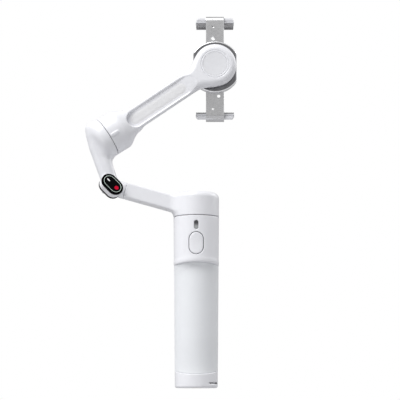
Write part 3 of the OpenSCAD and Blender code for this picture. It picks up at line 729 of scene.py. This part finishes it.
def fold_shape(p):
    across, depth, along = ELBOW(p)
    x, y, s = TILT(p)
    d = round_max(fold_body(p), s + SEAM / 2, 0.35)
    d = round_max(d, along - (BAR_START - ELBOW_SEAM), 0.2)
    # the motor's pocket, and the hole in its floor for the shaft
    d = np.maximum(d, -np.maximum(np.hypot(x, y) - ROTOR_R, -(s + ROTOR_DEPTH)))
    d = np.maximum(d, -np.maximum(np.hypot(x, y) - SHAFT_R, -(s + SHAFT_DEPTH)))
    return round_max(d, 0.12 - fold_cover_edge(p), 0.2)


def fold_cover_shape(p):
    return round_max(fold_body(p) + 0.1, fold_cover_edge(p), 0.3)


# ---------------------------------------------------------------- roll arm

ROLL_C = joint_point("roll_turn")
ROLL_R = 17.0
ROLL_POCKET_R = 14.8            # the roll motor's pocket in the dome
RECESS_R = 11.25                # the round recess in the dome's front
ROLL_FRONT = node_box("roll_cap_disc")[0][1]
ARM_0 = np.array([-56.0, -2.5, 208.2])
ARM_1 = np.array([-1.0, -5.2, 245.0])
ARM_DIR = unit((ARM_1 - ARM_0) * (1, 0, 1))
ARM_L = float((ARM_1 - ARM_0) @ ARM_DIR)
ARM_W, ARM_D = 17.0, 8.6
GROOVE_W, GROOVE_L, GROOVE_DEPTH = 13.2, 64.0, 1.15
GROOVE_MID, GROOVE_DROP = 33.8, 0.8


def arm_place(p):
    """Distance along the arm, across it (up is positive), and the arm's middle depth there."""
    q = p - ARM_0
    along = q @ ARM_DIR
    across = q[:, 2] * ARM_DIR[0] - q[:, 0] * ARM_DIR[2]
    middle = ARM_0[1] + (ARM_1[1] - ARM_0[1]) * np.clip(along / ARM_L, 0, 1)
    return along, across, middle


def groove_floor(p):
    """The groove's floor, as a depth along Y."""
    along, _, middle = arm_place(p)
    return middle - ARM_D / 2 + GROOVE_DEPTH * (1 - smooth_step((along - 50) / 15))


def roll_outline(p):
    along, across, _ = arm_place(p)
    strip = round_max(np.abs(across) - ARM_W / 2, np.maximum(-8 - along, along - 78), 4)
    disc = np.hypot(p[:, 0] - ROLL_C[0], p[:, 2] - ROLL_C[2]) - ROLL_R
    return smooth_min(strip, disc, 9)


def roll_body(p):
    """The flat arm with its dome, grown together with the turning half of the tilt housing."""
    along, _, middle = arm_place(p)
    y = p[:, 1]
    outline = roll_outline(p)
    plate = round_max(outline, middle - ARM_D / 2 - y, 1.5 + 3.2 * smooth_step((along - 54) / 12))
    plate = round_max(plate, y - middle - ARM_D / 2, 1.6)
    x, t, s = TILT(p)
    # the tilt housing, which narrows and flattens into the arm
    narrow = smooth_step((s - 11) / 14)
    flat = smooth_step((s - 10) / 16)
    half_x = 9.2 + (TILT_R - 9.2) * (1 - narrow)
    half_t = 5.4 + (TILT_R - 5.4) * (1 - flat)
    cup = (np.hypot(x / half_x, (t + 5.2 * flat) / half_t) - 1) * half_t
    cup = round_max(cup, s - 27, 3)
    return smooth_min(plate, cup, 5)


def roll_shape(p):
    along, across, _ = arm_place(p)
    y = p[:, 1]
    x, t, s = TILT(p)
    r = np.hypot(x, t)
    d = roll_body(p)
    # the groove along the arm, which fades out before the roll motor
    groove = capsule(along - GROOVE_MID, across + GROOVE_DROP, GROOVE_L, GROOVE_W)
    groove = round_max(groove, y - groove_floor(p), 1.0)
    d = smooth_max(d, -groove, 1.0)
    # a small catch on the front of the tilt housing
    catch = capsule(s - 4.3, x - 2.6, 7.4, 2.5)
    catch = round_max(catch, r - TILT_R - 0.75, 0.5)
    d = smooth_min(d, np.maximum(catch, t + 10), 0.4)
    d = round_max(d, SEAM / 2 - s, 0.35)
    # the roll motor's pocket, and the round recess in the dome
    radius = np.hypot(p[:, 0] - ROLL_C[0], p[:, 2] - ROLL_C[2])
    d = round_max(d, -np.maximum(radius - ROLL_POCKET_R, -7.2 - y), 0.3)
    d = round_max(d, -np.maximum(radius - RECESS_R, y + 8.2), 0.3)
    d = round_max(d, 0.12 - roll_cover_edge(p), 0.2)
    return np.maximum(d, -np.maximum(r - 14.4, s - 2.8))


def roll_cover_edge(p):
    """The outline of the cover on the back of the front arm."""
    along, across, _ = arm_place(p)
    seat = node_box("roll_arm_cover")[0][1]
    return np.maximum(capsule(along - 0.46 * ARM_L, across, 44, 8), seat - p[:, 1])


def roll_cover_shape(p):
    return round_max(roll_body(p) + 0.1, roll_cover_edge(p), 0.35)


def inlay_shape(p):
    """The groove's lining. It is crowned, and its edges sink into the floor."""
    along, across, _ = arm_place(p)
    edge = capsule(along - GROOVE_MID + 3.5, across + GROOVE_DROP, GROOVE_L - 9.6, GROOVE_W - 2.6)
    top = groove_floor(p) + 0.1 - 0.3 * smooth_step(-edge / 3.5)
    d = round_max(edge, top - p[:, 1], 0.2)
    return np.maximum(d, p[:, 1] - top - 0.8)


def roll_ring_shape(p):
    radius = np.hypot(p[:, 0] - ROLL_C[0], p[:, 2] - ROLL_C[2])
    y = p[:, 1]
    d = round_max(np.abs(radius - 10.48) - 0.72, ROLL_FRONT - 0.1 - y, 0.3)
    tray = round_max(radius - 11.15, slab(y, -8.7, -8.2), 0.1)
    return np.minimum(np.maximum(d, y + 8.3), tray)


def roll_disc_shape(p):
    """The round inlay on the dome, very slightly dished."""
    radius = np.hypot(p[:, 0] - ROLL_C[0], p[:, 2] - ROLL_C[2])
    top = ROLL_FRONT + 0.12 + 0.2 * (1 - (radius / 9.7) ** 2)
    return round_max(round_max(radius - 9.7, top - p[:, 1], 0.12), p[:, 1] - ROLL_FRONT - 0.82, 0.1)


def make_arms():
    solid("pan_arm", pan_shape, 0.6)
    solid("pan_arm_cover", pan_cover_shape, 0.3)
    solid("fold_arm", fold_shape, 0.46, 1.0)
    solid("fold_arm_cover", fold_cover_shape, 0.3, 2.5)
    solid("roll_arm", roll_shape, 0.5, 1.0)
    solid("roll_arm_inlay", inlay_shape, 0.35, 1.0)
    solid("roll_arm_cover", roll_cover_shape, 0.35, 3.5)
    solid("roll_cap", roll_ring_shape, 0.25)
    solid("roll_cap_disc", roll_disc_shape, 0.3)


# ---------------------------------------------------------------- clamp

PLATE_LOW, PLATE_HIGH = node_box("upper_bracket")
PLATE_Y0, PLATE_Y1 = PLATE_LOW[1], PLATE_LOW[1] + 1.2
BRACKET_W = PLATE_HIGH[0] - PLATE_LOW[0]
FLANGE_TOP = PLATE_HIGH[2] - ROLL_C[2]
CLAMP_LOW, CLAMP_HIGH = node_box("clamp_base")
CLAMP_R = (CLAMP_HIGH[2] - CLAMP_LOW[2]) / 2
CLAMP_FLAT = (CLAMP_HIGH[0] - CLAMP_LOW[0]) / 2
SLIP, POST_R = 0.25, 0.95       # the brackets' clearance, and the pinion's post in their channel


def double_d(x, z, r, flat):
    return round_max(np.hypot(x, z) - r, np.abs(x) - flat, 1.0)


def clamp_base_shape(p):
    x, z = p[:, 0] - ROLL_C[0], p[:, 2] - ROLL_C[2]
    y = p[:, 1]
    outline = double_d(x, z, CLAMP_R, CLAMP_FLAT)
    d = np.maximum(outline, slab(y, CLAMP_LOW[1], CLAMP_HIGH[1]))
    bevel = (outline + CLAMP_LOW[1] - y) * math.sqrt(0.5) + 0.5
    d = round_max(d, bevel, 0.15)
    channel = np.maximum(np.abs(x) - BRACKET_W / 2 - SLIP, slab(y, PLATE_Y0 - SLIP, PLATE_Y1 + SLIP))
    return round_max(d, -np.maximum(channel, POST_R - np.hypot(x, z)), 0.12)


def back_pad_shape(p):
    """Rubber pad with round ribs, which the phone lies on."""
    x, z = p[:, 0] - ROLL_C[0], p[:, 2] - ROLL_C[2]
    outline = double_d(x, z, CLAMP_R - 3, CLAMP_FLAT - 2.4)
    ribs = 0.12 * np.cos(outline * 2 * math.pi / 2.4)
    return round_max(outline, slab(p[:, 1], CLAMP_HIGH[1] - 0.01, CLAMP_HIGH[1] + 0.76 + ribs), 0.25)


RACK_PITCH = 1.885              # pi times the module of the rack and pinion
RACK_TIP, RACK_ROOT = 0.42, 0.62
PINION_R = 3.0
WIDE_FROM = 17.0                # the bracket has its full width beyond this
BEND_OUT, BEND_IN = 4.4, 3.1    # the two rounds of the bend between plate and flange


def bracket_shape(x, out, y, hole_x, hole_out, small_x):
    """A bent bracket: out is the distance from the roll axis towards its flange."""
    corner = round_max(PLATE_Y0 - y, out - FLANGE_TOP, BEND_OUT)
    angle = round_max(PLATE_Y1 - y, out - (FLANGE_TOP - 1.3), BEND_IN)
    sheet = np.maximum(corner, -angle)
    phase = np.abs((out / RACK_PITCH + 0.5) % 1 - 0.5) * RACK_PITCH
    tooth = np.clip((phase - RACK_PITCH / 4) * 2.14, -RACK_ROOT, RACK_TIP)
    rack = np.minimum((x + PINION_R - tooth) * 0.7, WIDE_FROM - out)
    d = round_max(sheet, np.abs(x) - BRACKET_W / 2, 0.3)
    d = np.maximum(np.maximum(d, rack), -8 - out)
    d = round_max(d, y - PLATE_HIGH[1], 0.3)
    d = round_max(d, 1.3 - np.hypot(x - hole_x, out - hole_out), 0.15)
    return round_max(d, 0.8 - np.hypot(x - small_x, out - 34), 0.12)


def from_upper(p):
    """Local width, distance out from the roll axis, and depth, for what the upper slide holds."""
    return p[:, 0] - ROLL_C[0], p[:, 2] - ROLL_C[2], p[:, 1]


def from_lower(p):
    return ROLL_C[0] - p[:, 0], ROLL_C[2] - p[:, 2], p[:, 1]


JAW_LOW, JAW_HIGH = node_box("upper_jaw")
JAW_OUT = (JAW_LOW[2] - ROLL_C[2], JAW_HIGH[2] - ROLL_C[2])
JAW_HALF = (JAW_HIGH[0] - JAW_LOW[0]) / 2
PAD_LOW, PAD_HIGH = node_box("upper_jaw_pad")


def jaw_shape(x, out, y):
    """A moulded block with raking ends and a line moulded round it."""
    rake = (np.abs(x) + (out - JAW_OUT[0]) * 0.38 - JAW_HALF) * 0.93
    d = round_max(rake, slab(out, *JAW_OUT), 0.9)
    d = round_max(d, (out - JAW_OUT[1] + (y - JAW_LOW[1] - 4.2) * 0.433) * 0.918, 1.2)
    d = round_max(d, slab(y, JAW_LOW[1], JAW_HIGH[1]), 0.6)
    line = np.maximum(np.abs(out - JAW_OUT[0] - 1.5) - 0.35, -d - 0.5)
    return smooth_max(d, -line, 0.15)


def pad_shape(x, out, y):
    """Ribbed rubber that faces the phone, with a lip that keeps it from sliding out."""
    foot = out - (PAD_LOW[2] - ROLL_C[2])
    half = (PAD_HIGH[0] - PAD_LOW[0]) / 2
    ribs = 0.14 * np.cos(2 * math.pi * x / 1.5)
    floor = 3.0 - 1.42 - ribs
    d = round_max(np.abs(x) - half, slab(y, 7.2, 16.2), 0.6)
    d = np.maximum(d, slab(foot, floor + 0.02, 3.0))
    lip = round_max(round_max(np.abs(x) - half, slab(y, 15.6, 16.8), 0.45), slab(foot, 0.02, 3.0), 0.45)
    return smooth_min(d, lip, 0.4)


def make_clamp():
    solid("clamp_base", clamp_base_shape, 0.32)
    solid("clamp_back_pad", back_pad_shape, 0.35)
    solid("upper_bracket", lambda p: bracket_shape(*from_upper(p), -1.8, 24.3, -1.8), 0.3)
    solid("lower_bracket", lambda p: bracket_shape(*from_lower(p), -3.0, 23.5, 1.8), 0.3)
    for side, place in (("upper", from_upper), ("lower", from_lower)):
        solid(side + "_jaw", lambda p, place=place: jaw_shape(*place(p)), 0.35)
        solid(side + "_jaw_pad", lambda p, place=place: pad_shape(*place(p)), 0.3)


# ---------------------------------------------------------------- tracker

TRACKER_C = np.array([-65.5, -17.0, 158.3])
TRACKER_Z = unit((0.365, -0.878, 0.312))
TRACKER = Place(TRACKER_C, TRACKER_Z, (1, 0.06, -1))
TRACKER_L, TRACKER_W, TRACKER_T = 19.3, 13.2, 9.0
LIGHT_X = 4.4                   # the bar and the red dot lie this far from the middle
TRIM_IN = 3.9                   # how much smaller the trim's middle line is than the window


def tracker_base_shape(p):
    x, y, z = TRACKER(p)
    outline = capsule(x, y, TRACKER_L - 0.4, TRACKER_W - 0.4)
    return round_max(outline, slab(z, -TRACKER_T, -TRACKER_T + 1.5), 0.3)


def tracker_body_shape(p):
    """Silver side wall with fine ribs round it."""
    x, y, z = TRACKER(p)
    rib = 0.16 * np.cos(2 * math.pi * (z + TRACKER_T) / 1.15)
    outline = capsule(x, y, TRACKER_L - 0.95, TRACKER_W - 0.95) - rib
    return round_max(outline, slab(z, -TRACKER_T + 1.5, -2.0), 0.2)


def tracker_window_shape(p):
    x, y, z = TRACKER(p)
    d = round_max(capsule(x, y, TRACKER_L, TRACKER_W), slab(z, -2, 0), 0.55)
    trim = np.abs(capsule(x, y, TRACKER_L - TRIM_IN, TRACKER_W - TRIM_IN)) - 0.19
    d = np.maximum(d, -np.maximum(trim, -0.5 - z))
    d = np.maximum(d, -np.maximum(capsule(x + LIGHT_X, y, 3.0, 1.2), -0.4 - z))
    return np.maximum(d, -np.maximum(np.hypot(x - LIGHT_X, y) - 1.75, -0.4 - z))


def tracker_trim_shape(p):
    x, y, z = TRACKER(p)
    trim = np.abs(capsule(x, y, TRACKER_L - TRIM_IN, TRACKER_W - TRIM_IN)) - 0.17
    return round_max(trim, slab(z, -0.5, 0.05), 0.12)


def tracker_bar_shape(p):
    x, y, z = TRACKER(p)
    return round_max(capsule(x + LIGHT_X, y, 2.9, 1.1), slab(z, -0.4, 0.05), 0.12)


def tracker_dot_shape(p):
    """A red lens, dished in its middle."""
    x, y, z = TRACKER(p)
    r = np.hypot(x - LIGHT_X, y)
    return round_max(r - 1.7, slab(z, -0.4, 0.05 - 0.12 * np.clip(1 - (r / 1.3) ** 2, 0, 1)), 0.12)


def make_tracker():
    solid("tracker_base", tracker_base_shape, 0.3)
    solid("tracker_body", tracker_body_shape, 0.22)
    solid("tracker_window", tracker_window_shape, 0.17)
    solid("tracker_trim", tracker_trim_shape, 0.11)
    solid("tracker_light_bar", tracker_bar_shape, 0.1)
    solid("tracker_record_dot", tracker_dot_shape, 0.12)


# ---------------------------------------------------------------- camera, stage and the rest

MIDDLE = (-0.03, 0, 0.17)
FLOOR_Z = -0.06


def make_camera():
    data = bpy.data.cameras.new("camera")
    data.sensor_width = 36.0
    data.lens = 126.0
    data.clip_start = 0.05
    data.clip_end = 50.0
    camera = bpy.data.objects.new("camera", data)
    camera.location = (0.0029, -1.100, -0.0106)
    camera.rotation_euler = (math.radians(90 + 8.2), 0, 0)
    bpy.context.scene.collection.objects.link(camera)
    bpy.context.scene.camera = camera


def area_light(name, location, target, size, power):
    data = bpy.data.lights.new(name, "AREA")
    data.shape = "RECTANGLE"
    data.size, data.size_y = size
    data.energy = power
    light = bpy.data.objects.new(name, data)
    light.location = location
    light.rotation_euler = (Vector(target) - Vector(location)).to_track_quat("-Z", "Y").to_euler()
    bpy.context.scene.collection.objects.link(light)


def make_floor():
    mesh = bpy.data.meshes.new("floor")
    corners = [(x, y, FLOOR_Z) for x, y in ((-6, -6), (6, -6), (6, 6), (-6, 6))]
    mesh.from_pydata(corners, [], [(0, 1, 2, 3)])
    floor = bpy.data.objects.new("floor", mesh)
    bpy.context.scene.collection.objects.link(floor)
    mesh.materials.append(moulded("floor", (0.52, 0.52, 0.53), 0.8).material)


def make_world():
    """Seen directly the studio is white. What it lights with is brighter from the left and above."""
    world = bpy.data.worlds.new("studio")
    world.use_nodes = True
    tree = world.node_tree
    output = tree.nodes["World Output"]
    seen = tree.nodes["Background"]
    seen.inputs["Color"].default_value = (1, 1, 1, 1)
    lit = tree.nodes.new("ShaderNodeBackground")
    direction = tree.nodes.new("ShaderNodeTexCoord").outputs["Generated"]
    towards = tree.nodes.new("ShaderNodeVectorMath")
    towards.operation = "DOT_PRODUCT"
    towards.inputs[1].default_value = unit((-0.75, -0.25, 0.6))
    tree.links.new(direction, towards.inputs[0])
    level = tree.nodes.new("ShaderNodeMapRange")
    for name, value in (("From Min", -1), ("From Max", 1), ("To Min", 0.08), ("To Max", 0.72)):
        level.inputs[name].default_value = value
    tree.links.new(towards.outputs["Value"], level.inputs["Value"])
    tree.links.new(level.outputs[0], lit.inputs["Strength"])
    # what metal mirrors: a bright hoop round the piece, dimmer in front and behind
    mirrored = tree.nodes.new("ShaderNodeBackground")
    split = tree.nodes.new("ShaderNodeSeparateXYZ")
    tree.links.new(direction, split.inputs[0])
    shifted = tree.nodes.new("ShaderNodeMath")
    shifted.operation = "ADD"
    shifted.inputs[1].default_value = 0.33
    tree.links.new(split.outputs["Y"], shifted.inputs[0])
    band = tree.nodes.new("ShaderNodeMath")
    band.operation = "ABSOLUTE"
    tree.links.new(shifted.outputs[0], band.inputs[0])
    shine = tree.nodes.new("ShaderNodeMapRange")
    for name, value in (("From Min", 0.42), ("From Max", 0.62), ("To Min", 1.15), ("To Max", 0.68)):
        shine.inputs[name].default_value = value
    tree.links.new(band.outputs[0], shine.inputs["Value"])
    tree.links.new(shine.outputs[0], mirrored.inputs["Strength"])
    rays = tree.nodes.new("ShaderNodeLightPath")
    inner = tree.nodes.new("ShaderNodeMixShader")
    tree.links.new(rays.outputs["Is Glossy Ray"], inner.inputs[0])
    tree.links.new(lit.outputs[0], inner.inputs[1])
    tree.links.new(mirrored.outputs[0], inner.inputs[2])
    mix = tree.nodes.new("ShaderNodeMixShader")
    tree.links.new(rays.outputs["Is Camera Ray"], mix.inputs[0])
    tree.links.new(inner.outputs[0], mix.inputs[1])
    tree.links.new(seen.outputs[0], mix.inputs[2])
    tree.links.new(mix.outputs[0], output.inputs["Surface"])
    bpy.context.scene.world = world
    bpy.context.scene.view_settings.view_transform = "Standard"


def finish_frame():
    """Gives the CAD nodes that stay in sight their materials."""
    for name, node in frame["nodes"].items():
        if not node.hide_render:
            node.data.materials.clear()
            node.data.materials.append(finish(SLOT_OF[name]))


make_camera()
make_floor()
make_world()
area_light("key", (-0.95, -1.05, 1.9), MIDDLE, (1.5, 1.5), 48)
area_light("rim", (1.1, 0.45, 0.8), MIDDLE, (0.9, 0.9), 7)
make_handle()
make_arms()
make_clamp()
make_tracker()
finish_frame()
